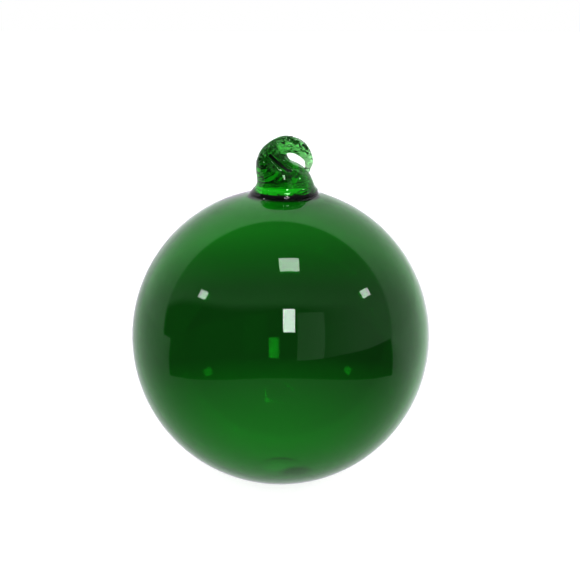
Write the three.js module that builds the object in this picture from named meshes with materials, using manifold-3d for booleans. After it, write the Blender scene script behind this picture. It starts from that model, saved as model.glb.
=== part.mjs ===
// A blown glass ornament ball with a hook of applied glass, standing on a small flat spot.
// Millimetres, +Z up. The origin is the middle of the flat spot, and the hook curls towards +X.
import * as THREE from 'three';
import { mergeVertices } from 'three/addons/utils/BufferGeometryUtils.js';
import Module from 'manifold-3d';

// Ball
const BALL_RADIUS = 40;
const FLAT_RADIUS = 6; // the ground spot that keeps the ball from rolling
const BALL_SIDES = 64;
const BALL_STEPS = 36;

// Neck, as [radius, below the seat] from where it leaves the ball up to the seat for the hook's foot
const SEAT_HEIGHT = 79.6;
const NECK_RADIUS = 9.4;
const NECK = [
  [9.0, 0.6],
  [8.75, 0.3],
  [8.6, 0],
];
const NECK_LEAN = 1.1; // how far the seat stands off the ball's axis, towards the curl
const LEAN_FROM = 76.5; // the height from which the glass leans that way

// Hook, drawn by its two edges in the plane of its curl, as [across, above the seat]
const OUTER_EDGE = [
  [-7.5, 0],
  [-6.8, 0.75],
  [-6.4, 1.6],
  [-6.28, 2.6],
  [-6.45, 4.35],
  [-6.55, 6.15],
  [-6.35, 7.95],
  [-4.9, 10.9],
  [-2.0, 13.2],
  [1.4, 14.2],
  [4.9, 13.3],
  [7.1, 11.3],
  [8.2, 8.75],
  [8.35, 6.9],
  [7.75, 5.6],
];
const INNER_EDGE = [
  [9.7, 0],
  [9.15, 0.6],
  [8.8, 1.2],
  [8.45, 2.2],
  [7.45, 4.25],
  [5.6, 6.1],
  [2.6, 7.75],
  [1.65, 9.15],
  [1.8, 9.55],
  [2.5, 9.6],
  [3.7, 9.35],
  [5.0, 8.6],
  [5.95, 7.8],
  [6.25, 7.05],
  [6.35, 5.9],
];
const HOOK_SIDES = 36;
const HOOK_STEPS = 44;

// The tip is fused to the hook's shoulder by a bead, which closes the eye
const BEAD_RADIUS = 0.8;
const BEAD_CENTRE = [6.9, 5.25];
const BEAD_SIDES = 16;
const BEAD_STEPS = 10;

const CENTRE_HEIGHT = Math.sqrt(BALL_RADIUS ** 2 - FLAT_RADIUS ** 2);

const ballGlass = new THREE.MeshStandardMaterial({ color: 0x176b20, roughness: 0.03, metalness: 0 });
const hookGlass = new THREE.MeshStandardMaterial({ color: 0x2f8a35, roughness: 0.03, metalness: 0 });

const wasm = await Module();
wasm.setup();

function closedShape(geometry) {
  geometry.deleteAttribute('normal');
  geometry.deleteAttribute('uv');
  return mergeVertices(geometry);
}

function toSolid(geometry) {
  const vertProperties = new Float32Array(geometry.attributes.position.array);
  const triVerts = new Uint32Array(geometry.index.array);
  return new wasm.Manifold(new wasm.Mesh({ numProp: 3, vertProperties, triVerts }));
}

function toGeometry(solid) {
  const mesh = solid.getMesh();
  const geometry = new THREE.BufferGeometry();
  geometry.setAttribute('position', new THREE.BufferAttribute(mesh.vertProperties, 3));
  geometry.setIndex(new THREE.BufferAttribute(mesh.triVerts, 1));
  return geometry;
}

// The ball is a full sphere of glass, cut level at the flat spot, with a short neck on top
function ballGeometry() {
  const lowest = -Math.asin(CENTRE_HEIGHT / BALL_RADIUS);
  const highest = Math.acos(NECK_RADIUS / BALL_RADIUS);
  const profile = [new THREE.Vector2(0, 0)];
  for (let i = 0; i <= BALL_STEPS; i += 1) {
    const angle = THREE.MathUtils.lerp(lowest, highest, i / BALL_STEPS);
    const height = CENTRE_HEIGHT + BALL_RADIUS * Math.sin(angle);
    profile.push(new THREE.Vector2(BALL_RADIUS * Math.cos(angle), height));
  }
  profile[1].y = 0;
  for (const [radius, below] of NECK) {
    profile.push(new THREE.Vector2(radius, SEAT_HEIGHT - below));
  }
  profile.push(new THREE.Vector2(0, SEAT_HEIGHT));
  const ball = closedShape(new THREE.LatheGeometry(profile, BALL_SIDES).rotateX(Math.PI / 2));
  const position = ball.attributes.position;
  for (let i = 0; i < position.count; i += 1) {
    const lean = THREE.MathUtils.inverseLerp(LEAN_FROM, SEAT_HEIGHT, position.getZ(i));
    position.setX(i, position.getX(i) + NECK_LEAN * Math.max(0, lean));
  }
  return ball;
}

function edgeCurve(edge) {
  const points = edge.map(([across, above]) => new THREE.Vector3(across, 0, SEAT_HEIGHT + above));
  return new THREE.CatmullRomCurve3(points);
}

// Round sections of glass span the two edges, from the foot up and over to the tip
function drawnGlass() {
  const outer = edgeCurve(OUTER_EDGE);
  const inner = edgeCurve(INNER_EDGE);
  const rod = closedShape(new THREE.CylinderGeometry(1, 1, 1, HOOK_SIDES, HOOK_STEPS));
  const position = rod.attributes.position;
  for (let i = 0; i < position.count; i += 1) {
    const along = THREE.MathUtils.clamp(position.getY(i) + 0.5, 0, 1);
    const outside = outer.getPoint(along);
    const inside = inner.getPoint(along);
    const half = inside.clone().sub(outside).multiplyScalar(0.5);
    const depth = half.length();
    const point = outside.clone().add(half).addScaledVector(half, position.getX(i));
    point.y -= depth * position.getZ(i);
    position.setXYZ(i, point.x, point.y, point.z);
  }
  return rod;
}

function hookGeometry() {
  const [across, above] = BEAD_CENTRE;
  const bead = new THREE.SphereGeometry(BEAD_RADIUS, BEAD_SIDES, BEAD_STEPS);
  bead.translate(across, 0, SEAT_HEIGHT + above);
  return toGeometry(toSolid(drawnGlass()).add(toSolid(closedShape(bead))));
}

const ball = new THREE.Mesh(ballGeometry(), ballGlass);
ball.name = 'ball';

const hook = new THREE.Mesh(hookGeometry(), hookGlass);
hook.name = 'hook';

const ornament = new THREE.Group();
ornament.add(ball, hook);

export default ornament;
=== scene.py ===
"""A green glass ornament ball: a blown shell, and a hook of paler glass drawn from a gob on its top."""
import math

import bpy
from mathutils import Euler, Matrix, Vector


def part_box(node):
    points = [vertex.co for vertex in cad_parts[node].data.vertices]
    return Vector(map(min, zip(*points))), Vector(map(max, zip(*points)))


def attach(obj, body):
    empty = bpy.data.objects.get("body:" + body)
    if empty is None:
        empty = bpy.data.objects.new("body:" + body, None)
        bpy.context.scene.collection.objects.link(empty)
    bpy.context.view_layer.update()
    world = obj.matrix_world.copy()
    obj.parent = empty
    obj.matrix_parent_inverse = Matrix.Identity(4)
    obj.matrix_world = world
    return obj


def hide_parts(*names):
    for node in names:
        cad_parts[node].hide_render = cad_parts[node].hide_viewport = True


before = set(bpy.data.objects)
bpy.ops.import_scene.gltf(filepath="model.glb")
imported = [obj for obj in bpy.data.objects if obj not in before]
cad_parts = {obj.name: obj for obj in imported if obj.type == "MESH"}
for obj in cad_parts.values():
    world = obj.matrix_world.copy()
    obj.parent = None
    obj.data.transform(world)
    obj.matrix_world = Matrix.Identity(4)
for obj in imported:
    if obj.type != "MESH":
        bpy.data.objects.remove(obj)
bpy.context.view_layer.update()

# The view: a short telephoto looking down on the ball a little, as the photograph does.
# Its distance and lens are worked out from the ball's outline there, and the frame is taken to be square.
photo_side = 580
ball_middle_px = (280.9, 335.2)
ball_radius_px = 148.7
look_down = math.radians(17.5)
nearest_seen = 0.01
ball_radius = (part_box("ball")[1].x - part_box("ball")[0].x) / 2
flat_radius = 0.006
ball_middle = Vector((0, 0, math.sqrt(ball_radius**2 - flat_radius**2)))
radii_away = 9
camera_distance = radii_away * ball_radius
focal_px = ball_radius_px * math.sqrt(camera_distance**2 - ball_radius**2) / ball_radius
to_camera = Vector((0, -math.cos(look_down), math.sin(look_down)))

camera = bpy.data.objects.new("photo_camera", bpy.data.cameras.new("photo_camera"))
camera.data.lens = focal_px / photo_side * camera.data.sensor_width
camera.data.clip_start = nearest_seen
camera.location = ball_middle + to_camera * camera_distance
turn_right = math.atan((photo_side / 2 - ball_middle_px[0]) / focal_px)
turn_up = math.atan((ball_middle_px[1] - photo_side / 2) / focal_px)
aim = (-to_camera).to_track_quat("-Z", "Y").to_matrix() @ Euler((turn_up, -turn_right, 0)).to_matrix()
camera.rotation_euler = aim.to_euler()
bpy.context.collection.objects.link(camera)
bpy.context.scene.camera = camera


# The ball: a bulb blown in deep green glass with a short neck, sealed, with a thin wall round its air.
# It is ground flat under the foot; its neck leans a little and ends in the seat for the hook.
wall = 0.0015
seat_height = 0.0796
neck_radius = 0.0094
neck_lean = 0.0011
lean_from = 0.0765
neck_below_seat = [(0.009, 0.0006), (0.00875, 0.0003), (0.0086, 0)]
rings_on_ball = 44
steps_on_ball = 5
sides_round = 180
green = (0.04, 0.75, 0.15, 1)
ball_depth_of_colour = 1600
glass_bend = 1.5
sharp_on_ball = math.radians(6)


def add(tree, kind, feeds=None, **settings):
    made = tree.nodes.new(kind)
    for name, value in settings.items():
        setattr(made, name, value)
    for socket, feed in (feeds or {}).items():
        if isinstance(feed, bpy.types.NodeSocket):
            tree.links.new(feed, made.inputs[socket])
        else:
            made.inputs[socket].default_value = feed
    return made


def sums(tree, operation, first, second=0.0):
    return add(tree, "ShaderNodeMath", {0: first, 1: second}, operation=operation).outputs[0]


def new_tree(name, inputs):
    tree = bpy.data.node_groups.new(name, "GeometryNodeTree")
    for label, kind in inputs.items():
        tree.interface.new_socket(label, in_out="INPUT", socket_type=kind)
    tree.interface.new_socket("Geometry", in_out="OUTPUT", socket_type="NodeSocketGeometry")
    return tree, tree.nodes.new("NodeGroupInput").outputs, tree.nodes.new("NodeGroupOutput").inputs


def keep_used_slots(mesh):
    """Drop the empty slot that a tree leaves before the ones it fills."""
    used = [material for material in mesh.materials if material]
    slots = [used.index(mesh.materials[face.material_index]) for face in mesh.polygons]
    mesh.materials.clear()
    for material in used:
        mesh.materials.append(material)
    mesh.polygons.foreach_set("material_index", slots)


def from_tree(name, tree, sizes):
    carrier = bpy.data.objects.new(name, bpy.data.meshes.new(name + "_blank"))
    bpy.context.collection.objects.link(carrier)
    maker = carrier.modifiers.new(name, "NODES")
    maker.node_group = tree
    for item in tree.interface.items_tree:
        if item.in_out == "INPUT":
            maker[item.identifier] = sizes[item.name]
    depsgraph = bpy.context.evaluated_depsgraph_get()
    mesh = bpy.data.meshes.new_from_object(carrier.evaluated_get(depsgraph), depsgraph=depsgraph)
    carrier.modifiers.remove(maker)
    mesh.name = name
    carrier.data = mesh
    keep_used_slots(mesh)
    return carrier


def glass(name, tint, depth_of_colour):
    """Clear smooth glass that takes up light along its path, so that it darkens where it is thick."""
    material = bpy.data.materials.new(name)
    material.use_nodes = True
    shader = material.node_tree.nodes["Principled BSDF"]
    shader.inputs["Base Color"].default_value = (1, 1, 1, 1)
    shader.inputs["Roughness"].default_value = 0.0
    shader.inputs["IOR"].default_value = glass_bend
    shader.inputs["Transmission Weight"].default_value = 1.0
    tree = material.node_tree
    body = add(tree, "ShaderNodeVolumeAbsorption", {"Color": tint, "Density": depth_of_colour})
    tree.links.new(body.outputs[0], tree.nodes["Material Output"].inputs["Volume"])
    return material


def edge_line(name, points):
    line = bpy.data.meshes.new(name)
    line.from_pydata([(x, 0, z) for x, z in points], [(i, i + 1) for i in range(len(points) - 1)], [])
    return bpy.data.objects.new(name, line)


def smooth_points(tree, line, steps):
    """The line's points, run through a smooth curve with the given steps between each two."""
    mesh = add(tree, "GeometryNodeObjectInfo", {"Object": line}).outputs["Geometry"]
    curve = add(tree, "GeometryNodeMeshToCurve", {"Mesh": mesh}).outputs[0]
    bent = add(tree, "GeometryNodeCurveSplineType", {"Curve": curve}, spline_type="CATMULL_ROM").outputs[0]
    fine = add(tree, "GeometryNodeSetSplineResolution", {"Geometry": bent, "Resolution": steps}).outputs[0]
    return add(tree, "GeometryNodeCurveToPoints", {"Curve": fine}, mode="EVALUATED").outputs["Points"]


def point_at(tree, points, index):
    where = add(tree, "GeometryNodeInputPosition").outputs[0]
    return add(
        tree,
        "GeometryNodeSampleIndex",
        {"Geometry": points, "Value": where, "Index": index},
        data_type="FLOAT_VECTOR",
        clamp=True,
    ).outputs[0]


def blend(tree, operation, first, second):
    return add(tree, "ShaderNodeVectorMath", {0: first, 1: second}, operation=operation).outputs[0]


def scaled(tree, vector, factor):
    return add(tree, "ShaderNodeVectorMath", {0: vector, "Scale": factor}, operation="SCALE").outputs[0]


def split(tree, vector):
    return add(tree, "ShaderNodeSeparateXYZ", {0: vector}).outputs


def round_sections(tree, given):
    """Round sections that span two edges, step by step, closed flat at both ends."""
    rod = add(
        tree,
        "GeometryNodeMeshCylinder",
        {"Vertices": given["Sides"], "Side Segments": given["Steps"], "Radius": 1.0, "Depth": 1.0},
        fill_type="TRIANGLE_FAN",
    ).outputs["Mesh"]
    place = split(tree, add(tree, "GeometryNodeInputPosition").outputs[0])
    along = sums(tree, "MULTIPLY", sums(tree, "ADD", place["Z"], 0.5), given["Steps"])
    step = add(tree, "FunctionNodeFloatToInt", {0: along}, rounding_mode="ROUND").outputs[0]
    far_side = point_at(tree, smooth_points(tree, given["Left edge"], given["Steps between"]), step)
    near_side = point_at(tree, smooth_points(tree, given["Right edge"], given["Steps between"]), step)
    half = scaled(tree, blend(tree, "SUBTRACT", near_side, far_side), 0.5)
    core = blend(tree, "ADD", far_side, half)
    depth = add(tree, "ShaderNodeVectorMath", {0: half}, operation="LENGTH").outputs["Value"]
    forth = add(tree, "ShaderNodeCombineXYZ", {"Y": sums(tree, "MULTIPLY", depth, place["Y"])}).outputs[0]
    section = blend(tree, "ADD", scaled(tree, half, place["X"]), forth)
    moved = blend(tree, "ADD", core, section)
    return add(tree, "GeometryNodeSetPosition", {"Geometry": rod, "Position": moved}).outputs[0]


sections = {
    "Left edge": "NodeSocketObject",
    "Right edge": "NodeSocketObject",
    "Steps between": "NodeSocketInt",
    "Steps": "NodeSocketInt",
    "Sides": "NodeSocketInt",
    "Glass": "NodeSocketMaterial",
}
ball_glass = glass("ball_glass", green, ball_depth_of_colour)
blown, given, result = new_tree(
    "Blown ball",
    sections | {"Air radius": "NodeSocketFloat", "Middle": "NodeSocketVector"},
)
outside = round_sections(blown, given)
air = add(
    blown,
    "GeometryNodeMeshUVSphere",
    {"Segments": given["Sides"], "Rings": given["Sides"], "Radius": given["Air radius"]},
).outputs["Mesh"]
raised = add(blown, "GeometryNodeTransform", {"Geometry": air, "Translation": given["Middle"]})
turned_in = add(blown, "GeometryNodeFlipFaces", {"Mesh": raised.outputs[0]}).outputs[0]
shell = add(blown, "GeometryNodeJoinGeometry")
blown.links.new(outside, shell.inputs[0])
blown.links.new(turned_in, shell.inputs[0])
whole = add(blown, "GeometryNodeRealizeInstances", {0: shell.outputs[0]}).outputs[0]
dressed = add(blown, "GeometryNodeSetMaterial", {"Geometry": whole, "Material": given["Glass"]}).outputs[0]
blown.links.new(dressed, result[0])

lowest = -math.acos(flat_radius / ball_radius)
highest = math.acos(neck_radius / ball_radius)
angles = [lowest + (highest - lowest) * i / rings_on_ball for i in range(rings_on_ball + 1)]
profile = [(ball_radius * math.cos(a), ball_middle.z + ball_radius * math.sin(a)) for a in angles]
profile += [(radius, seat_height - below) for radius, below in neck_below_seat]


def leaning(height):
    return neck_lean * max(0, (height - lean_from) / (seat_height - lean_from))


ball = from_tree(
    "glass_ball",
    blown,
    {
        "Left edge": edge_line("ball_left", [(leaning(z) - r, z) for r, z in profile]),
        "Right edge": edge_line("ball_right", [(leaning(z) + r, z) for r, z in profile]),
        "Steps between": steps_on_ball,
        "Steps": (len(profile) - 1) * steps_on_ball,
        "Sides": sides_round,
        "Glass": ball_glass,
        "Air radius": ball_radius - wall,
        "Middle": ball_middle,
    },
)
ball.data.shade_smooth()
ball.data.set_sharp_from_angle(angle=sharp_on_ball)
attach(ball, "root")
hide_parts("ball")


# The hook: a gob of paler glass set hot on the ball's neck, pulled up, and curled over until a bead
# at its tip fused to its shoulder. A crease is pressed down its face, and its faces carry painted shade,
# an opaque near-black green; its back and curl are wavy.
# Its two edges are drawn in the plane of the curl, as millimetres (across, above the seat).
hook_green = (0.05, 0.83, 0.05, 1)
hook_depth_of_colour = 340
# Painted shade for the crease: an opaque near-black green put on its faces where shade falls in the fold.
crease_shade_colour = (0.001, 0.012, 0.002, 1)
joint_gap = 0.00002
steps_between = 14
sides_of_rod = 160
left_edge = [
    (-7.5, 0), (-6.8, 0.75), (-6.4, 1.6), (-6.28, 2.6), (-6.45, 4.35),
    (-6.55, 6.15), (-6.35, 7.95), (-4.9, 10.9), (-2.0, 13.2), (1.4, 14.2),
    (4.9, 13.3), (7.1, 11.3), (8.2, 8.75), (8.35, 6.9), (7.75, 5.6),
]
right_edge = [
    (9.7, 0), (9.15, 0.6), (8.8, 1.2), (8.45, 2.2), (7.45, 4.25),
    (5.6, 6.1), (2.6, 7.75), (1.65, 9.15), (1.8, 9.55), (2.5, 9.6),
    (3.7, 9.35), (5.0, 8.6), (5.95, 7.8), (6.25, 7.05), (6.35, 5.9),
]
crease_line = [(-2.7, 9.45), (-1.4, 8.3), (0.2, 6.95), (1.6, 6.1), (2.6, 5.85)]
crease_width = 0.0007
crease_depth = 0.0011
crease_front = -0.001
crease_back = -0.0005
crease_fades_from = -0.003
crease_fades_to = 0.003
crease_end_share = 0.38
# How deep a face must be pressed into the crease to get the painted shade.
shade_painted_above = 0.3
bead_radius = 0.0008
bead_spot = (6.9, 5.25)
bead_sides = 32
bead_rings = 16
wave_length = 0.002
wave_depth = 0.002
wave_detail = 2.0
wavy_from = 0.0862
wavy_to = 0.0905
back_from = 0.0
back_to = 0.002
sharp_on_hook = math.radians(40)
mm_per_metre = 1000


def over_seat(points):
    return [(x / mm_per_metre, seat_height + joint_gap + z / mm_per_metre) for x, z in points]


def mapped(tree, value, low, high, at_low, at_high, curve="LINEAR"):
    feeds = {"Value": value, "From Min": low, "From Max": high, "To Min": at_low, "To Max": at_high}
    return add(tree, "ShaderNodeMapRange", feeds, interpolation_type=curve).outputs[0]


hook_glass = glass("hook_glass", hook_green, hook_depth_of_colour)
skin = hook_glass.node_tree
on_hook = add(skin, "ShaderNodeTexCoord").outputs["Object"]
waves = add(
    skin,
    "ShaderNodeTexNoise",
    {"Vector": on_hook, "Scale": 1 / wave_length, "Detail": wave_detail},
).outputs[0]
place = split(skin, on_hook)
on_curl = mapped(skin, place["Z"], wavy_from, wavy_to, 0.0, 1.0)
on_back = mapped(skin, place["Y"], back_from, back_to, 0.0, 1.0)
height = sums(skin, "MULTIPLY", waves, sums(skin, "MAXIMUM", on_curl, on_back))
wavy = add(skin, "ShaderNodeBump", {"Height": height, "Distance": wave_depth})
skin.links.new(wavy.outputs[0], skin.nodes["Principled BSDF"].inputs["Normal"])
# The crease's painted shade: an opaque near-black green material, not glass.
crease_painted_shade = bpy.data.materials.new("crease_painted_shade")
crease_painted_shade.use_nodes = True
crease_painted_shade.node_tree.nodes["Principled BSDF"].inputs["Base Color"].default_value = crease_shade_colour
drawn, given, result = new_tree(
    "Drawn hook",
    sections
    | {
        "Crease": "NodeSocketObject",
        "Crease width": "NodeSocketFloat",
        "Crease depth": "NodeSocketFloat",
        "Bead radius": "NodeSocketFloat",
        "Bead spot": "NodeSocketVector",
        "Crease shade": "NodeSocketMaterial",
    },
)
plain = round_sections(drawn, given)
where = add(drawn, "GeometryNodeInputPosition").outputs[0]
spot = split(drawn, where)
in_plane = add(drawn, "ShaderNodeCombineXYZ", {"X": spot["X"], "Z": spot["Z"]}).outputs[0]
crease = add(drawn, "GeometryNodeObjectInfo", {"Object": given["Crease"]}).outputs["Geometry"]
nearest = add(
    drawn,
    "GeometryNodeProximity",
    {"Geometry": crease, "Sample Position": in_plane},
    target_element="EDGES",
)
off_line = sums(drawn, "DIVIDE", nearest.outputs["Distance"], given["Crease width"])
pressed = mapped(drawn, off_line, 0.0, 1.0, 1.0, 0.0, "SMOOTHSTEP")
on_front = mapped(drawn, spot["Y"], crease_front, crease_back, 1.0, 0.0)
faded = mapped(drawn, spot["X"], crease_fades_from, crease_fades_to, 1.0, crease_end_share)
groove = sums(drawn, "MULTIPLY", sums(drawn, "MULTIPLY", pressed, on_front), faded)
push = add(drawn, "ShaderNodeCombineXYZ", {"Y": sums(drawn, "MULTIPLY", groove, given["Crease depth"])})
creased = add(drawn, "GeometryNodeSetPosition", {"Geometry": plain, "Offset": push.outputs[0]}).outputs[0]
drop_of_glass = add(
    drawn,
    "GeometryNodeMeshUVSphere",
    {"Segments": bead_sides, "Rings": bead_rings, "Radius": given["Bead radius"]},
).outputs["Mesh"]
bead = add(drawn, "GeometryNodeTransform", {"Geometry": drop_of_glass, "Translation": given["Bead spot"]})
fused = add(drawn, "GeometryNodeMeshBoolean", operation="UNION", solver="EXACT")
drawn.links.new(creased, fused.inputs["Mesh 2"])
drawn.links.new(bead.outputs[0], fused.inputs["Mesh 2"])
whole = add(drawn, "GeometryNodeRealizeInstances", {0: fused.outputs["Mesh"]}).outputs[0]
dressed = add(drawn, "GeometryNodeSetMaterial", {"Geometry": whole, "Material": given["Glass"]}).outputs[0]
# Faces pressed deep into the crease get the painted shade instead of glass.
painted_shade_in_crease = sums(drawn, "GREATER_THAN", groove, shade_painted_above)
crease_shade_set = add(
    drawn,
    "GeometryNodeSetMaterial",
    {"Geometry": dressed, "Selection": painted_shade_in_crease, "Material": given["Crease shade"]},
).outputs[0]
drawn.links.new(crease_shade_set, result[0])

bead_across, bead_height = over_seat([bead_spot])[0]
hook = from_tree(
    "glass_hook",
    drawn,
    {
        "Left edge": edge_line("hook_left", over_seat(left_edge)),
        "Right edge": edge_line("hook_right", over_seat(right_edge)),
        "Steps between": steps_between,
        "Steps": (len(left_edge) - 1) * steps_between,
        "Sides": sides_of_rod,
        "Glass": hook_glass,
        "Crease": edge_line("hook_crease", over_seat(crease_line)),
        "Crease width": crease_width,
        "Crease depth": crease_depth,
        "Bead radius": bead_radius,
        "Bead spot": (bead_across, 0, bead_height),
        "Crease shade": crease_painted_shade,
    },
)
hook.data.shade_smooth()
hook.data.set_sharp_from_angle(angle=sharp_on_hook)
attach(hook, "root")
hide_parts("hook")


# The studio: a floor with a rounded front that shows plain white to the camera, but to rays mirrored in
# the ball or seen through it glows with painted light and painted shadow. It stands in a white tent that
# is dim and open at the front, with soft lamps placed so that their highlights fall where the ball shows
# them.
floor_drop = 0.0003
floor_reach = 1.5
front_half_width = 0.125
front_reach = 0.203
front_sides = -0.022
front_from = -0.07
front_to = 0.04
front_glow = 0.75
left_glow = 1.1
right_glow = 1.45
glow_half_width = 0.1
# Painted light and shadow on the floor for rays through the glass: a pool of light near the ball, a
# painted shadow band behind it, light again far off, lighter on the left than the right.
floor_light = 0.33
light_near = 0.64
near_from = 0.02
near_to = 0.1
light_far = 0.62
far_from = 0.2
far_to = 0.36
left_share = 1.2
right_share = 0.85
share_half_width = 0.06
# Painted contact shadow: the floor seen through the glass is darker round this spot by the ball's foot.
contact_shadow_spot = (0.0044, -0.0051, 0)
touch_inner = 0.003
touch_outer = 0.0055
contact_shadow_light = 0.3
floor_white = (0.3, 0.3, 0.3, 1)
floor_glow = 0.9
plain_white = (1, 1, 1, 1)
mirror_tint = (1.01, 0.98, 1.05, 1)
after_a_mirror = 0.5
dome = 1.0
tent_left = 1.2
tent_right = 1.35
tent_top = 0.5
tent_top_from = 0.4
tent_behind = 0.75
top_near = 0.9
top_far = 0.45
top_reach = 0.8
top_slope = math.tan(math.radians(38))
top_drop = 0.43
top_drop_power = 4.0
top_edge_low = -0.08
top_edge_high = 0.12
dim_left = 0.2
dim_left_to = 0.3
dim_right = 0.9
dim_right_from = 0.9
opening_tilt = 0.06
opening_from = 0.08
opening_to = 0.12

floor_mesh = bpy.data.meshes.new("floor")
corners = [(-floor_reach, -floor_reach), (floor_reach, -floor_reach)]
corners += [(floor_reach, floor_reach), (-floor_reach, floor_reach)]
floor_mesh.from_pydata([(x, y, -floor_drop) for x, y in corners], [], [(0, 1, 2, 3)])
floor = bpy.data.objects.new("floor", floor_mesh)
bpy.context.collection.objects.link(floor)
floor_paint = bpy.data.materials.new("floor_paint")
floor_paint.use_nodes = True
tree = floor_paint.node_tree
tree.nodes.clear()


def mixed(tree, share, first, second):
    return add(tree, "ShaderNodeMix", {"Factor": share, "A": first, "B": second}).outputs[0]


def times(tree, first, second):
    return sums(tree, "MULTIPLY", first, second)


seen = add(tree, "ShaderNodeLightPath").outputs
spot = add(tree, "ShaderNodeTexCoord").outputs["Object"]
place = split(tree, spot)
mirrored = sums(tree, "GREATER_THAN", seen["Glossy Depth"], after_a_mirror)
far = add(tree, "ShaderNodeVectorMath", {0: spot}, operation="LENGTH").outputs["Value"]
# Painted light and shadow for rays through the glass: a pool near the ball, a painted shadow band, more
# light far off, and lighter to the left.
near_light = mapped(tree, far, near_from, near_to, light_near, 0.0)
far_light = mapped(tree, far, far_from, far_to, 0.0, light_far)
depth_light = sums(tree, "ADD", sums(tree, "ADD", near_light, far_light), floor_light)
side_light = mapped(tree, place["X"], -share_half_width, share_half_width, left_share, right_share)
# The painted contact shadow: less light on the floor near the spot by the foot.
contact = add(tree, "ShaderNodeVectorMath", {0: spot, 1: contact_shadow_spot}, operation="DISTANCE").outputs["Value"]
contact_shadow = mapped(tree, contact, touch_inner, touch_outer, contact_shadow_light, 1.0)
through = times(tree, times(tree, depth_light, side_light), contact_shadow)
# Painted light seen in mirrors: brighter to the right, dimmer in front, and dim past a rounded front edge.
shares = (1 / front_half_width, 1 / front_reach, 0)
oval = add(tree, "ShaderNodeVectorMath", {0: spot, 1: shares}, operation="MULTIPLY").outputs[0]
off_edge = add(tree, "ShaderNodeVectorMath", {0: oval}, operation="LENGTH").outputs["Value"]
outside_oval = sums(tree, "GREATER_THAN", off_edge, 1.0)
beyond = times(tree, outside_oval, sums(tree, "LESS_THAN", place["Y"], front_sides))
in_front = mapped(tree, place["Y"], front_from, front_to, 1.0, 0.0, "SMOOTHSTEP")
beside = mapped(tree, place["X"], -glow_half_width, glow_half_width, left_glow, right_glow)
on_floor = mixed(tree, in_front, beside, front_glow)
in_mirror = mixed(tree, beyond, on_floor, dim_left)
strength = mixed(tree, mirrored, through, in_mirror)
tint = add(
    tree,
    "ShaderNodeMix",
    {"Factor": mirrored, "A": plain_white, "B": mirror_tint},
    data_type="RGBA",
)
lit = add(tree, "ShaderNodeEmission", {"Color": tint.outputs["Result"], "Strength": strength})
white = add(tree, "ShaderNodeBsdfDiffuse", {"Color": floor_white})
glow = add(tree, "ShaderNodeEmission", {"Color": plain_white, "Strength": floor_glow})
bright = add(tree, "ShaderNodeAddShader", {0: white.outputs[0], 1: glow.outputs[0]})
shown = add(
    tree,
    "ShaderNodeMixShader",
    {0: seen["Is Camera Ray"], 1: lit.outputs[0], 2: bright.outputs[0]},
)
add(tree, "ShaderNodeOutputMaterial", {"Surface": shown.outputs[0]})
floor_mesh.materials.append(floor_paint)

world = bpy.data.worlds.new("studio")
bpy.context.scene.world = world
world.use_nodes = True
tree = world.node_tree
tree.nodes.clear()
seen = add(tree, "ShaderNodeLightPath").outputs
way = add(tree, "ShaderNodeTexCoord").outputs["Generated"]
heading = split(tree, way)
sloping = sums(tree, "ADD", heading["Z"], times(tree, heading["Y"], top_slope))
aside = sums(tree, "ABSOLUTE", heading["X"])
drop = times(tree, sums(tree, "POWER", aside, top_drop_power), top_drop)
over_front = sums(tree, "SUBTRACT", sloping, drop)
top = mapped(tree, over_front, 0.0, top_reach, top_near, top_far)
dim = mapped(tree, heading["X"], dim_left_to, dim_right_from, dim_left, dim_right)
on_top = mapped(tree, over_front, top_edge_low, top_edge_high, 0.0, 1.0, "SMOOTHSTEP")
front = mixed(tree, on_top, dim, top)
behind = add(tree, "ShaderNodeVectorMath", {0: way, 1: -to_camera}, operation="DOT_PRODUCT")
tilted = times(tree, heading["X"], opening_tilt)
past_edge = sums(tree, "ADD", behind.outputs["Value"], tilted)
opening = mapped(tree, past_edge, opening_from, opening_to, 1.0, 0.0)
mirrored = sums(tree, "GREATER_THAN", seen["Glossy Depth"], after_a_mirror)
sides = mapped(tree, heading["X"], -1.0, 1.0, tent_left, tent_right)
tent = sums(tree, "ADD", sides, mapped(tree, heading["Z"], tent_top_from, 1.0, 0.0, tent_top))
surround = mixed(tree, mirrored, tent_behind, mixed(tree, opening, tent, front))
lighting = mixed(tree, seen["Is Diffuse Ray"], surround, dome)
strength = mixed(tree, seen["Is Camera Ray"], lighting, 1.0)
tint = add(
    tree,
    "ShaderNodeMix",
    {"Factor": mirrored, "A": plain_white, "B": mirror_tint},
    data_type="RGBA",
)
sky = add(tree, "ShaderNodeBackground", {"Color": tint.outputs["Result"], "Strength": strength})
add(tree, "ShaderNodeOutputWorld", {"Surface": sky.outputs[0]})


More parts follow.
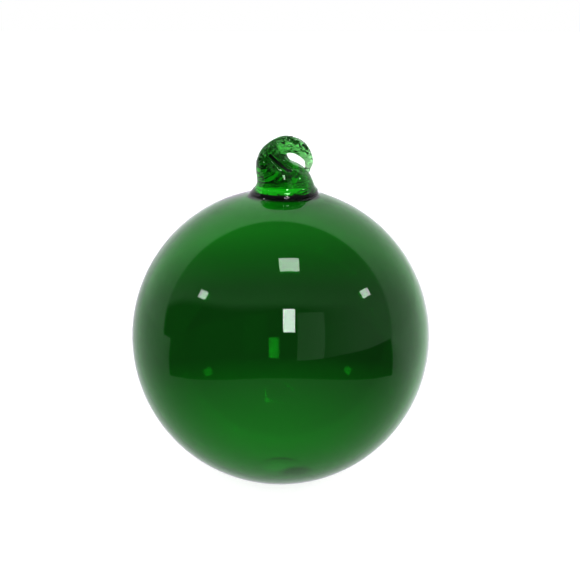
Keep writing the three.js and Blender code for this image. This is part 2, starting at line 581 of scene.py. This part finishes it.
def mirrored_way(spot_px):
    """Where a sight line through a pixel of the photograph meets the ball, and the way it is mirrored."""
    right = Vector((1, 0, 0))
    up = to_camera.cross(right)
    offset = Vector((spot_px[0] - ball_middle_px[0], ball_middle_px[1] - spot_px[1]))
    sight = (-to_camera + (right * offset.x + up * offset.y) / focal_px).normalized()
    eye = to_camera * camera_distance
    reach = -eye.dot(sight)
    hit = eye + sight * (reach - math.sqrt(max(reach**2 - camera_distance**2 + ball_radius**2, 0)))
    normal = hit.normalized()
    return hit, (sight - 2 * sight.dot(normal) * normal).normalized()


lamp_distance = 2.5
lamp_colour = (1.0, 0.86, 1.03)


def lamp(name, middle_px, width_px, height_px, radiance, turn=0.0):
    """A flat lamp whose highlight on the ball lies round a pixel of the photograph."""
    turned = Matrix.Rotation(turn, 2)

    def spot(across, up):
        offset = turned @ Vector((across, up))
        hit, way = mirrored_way((middle_px[0] + offset.x, middle_px[1] - offset.y))
        return hit + way * lamp_distance

    hit, way = mirrored_way(middle_px)
    rightward = spot(width_px / 2, 0) - spot(-width_px / 2, 0)
    upward = spot(0, height_px / 2) - spot(0, -height_px / 2)
    light = bpy.data.lights.new(name, "AREA")
    light.shape = "RECTANGLE"
    light.color = lamp_colour
    light.size = rightward.length
    light.size_y = upward.length
    light.energy = radiance * light.size * light.size_y * math.pi
    holder = bpy.data.objects.new(name, light)
    holder.location = ball_middle + spot(0, 0)
    facing = Matrix((rightward.normalized(), way.cross(rightward.normalized()), way)).transposed()
    holder.rotation_euler = facing.to_euler()
    holder.visible_camera = False
    bpy.context.collection.objects.link(holder)


left_turn = math.radians(-27.6)
right_turn = math.radians(26.7)
lamp("top_lamp", middle_px=(289.3, 264.5), width_px=20.5, height_px=13.5, radiance=11)
lamp("left_lamp", middle_px=(203.2, 294.6), width_px=8.5, height_px=8.5, radiance=11, turn=left_turn)
lamp("right_lamp", middle_px=(365.3, 292.8), width_px=8.5, height_px=8.5, radiance=11, turn=right_turn)
lamp("front_lamp", middle_px=(289, 320.5), width_px=12.5, height_px=24, radiance=17)
lamp("side_lamp", middle_px=(311.5, 337), width_px=28, height_px=52, radiance=0.7)


# The picture: plain tones with the dark ones held down, and enough bounces for light to find its way
# through both walls of the ball.
tone = 0.67
light_bounces = 24
scene = bpy.context.scene
scene.view_settings.view_transform = "Standard"
scene.view_settings.gamma = tone
scene.cycles.max_bounces = light_bounces
scene.cycles.transmission_bounces = light_bounces
scene.cycles.glossy_bounces = light_bounces
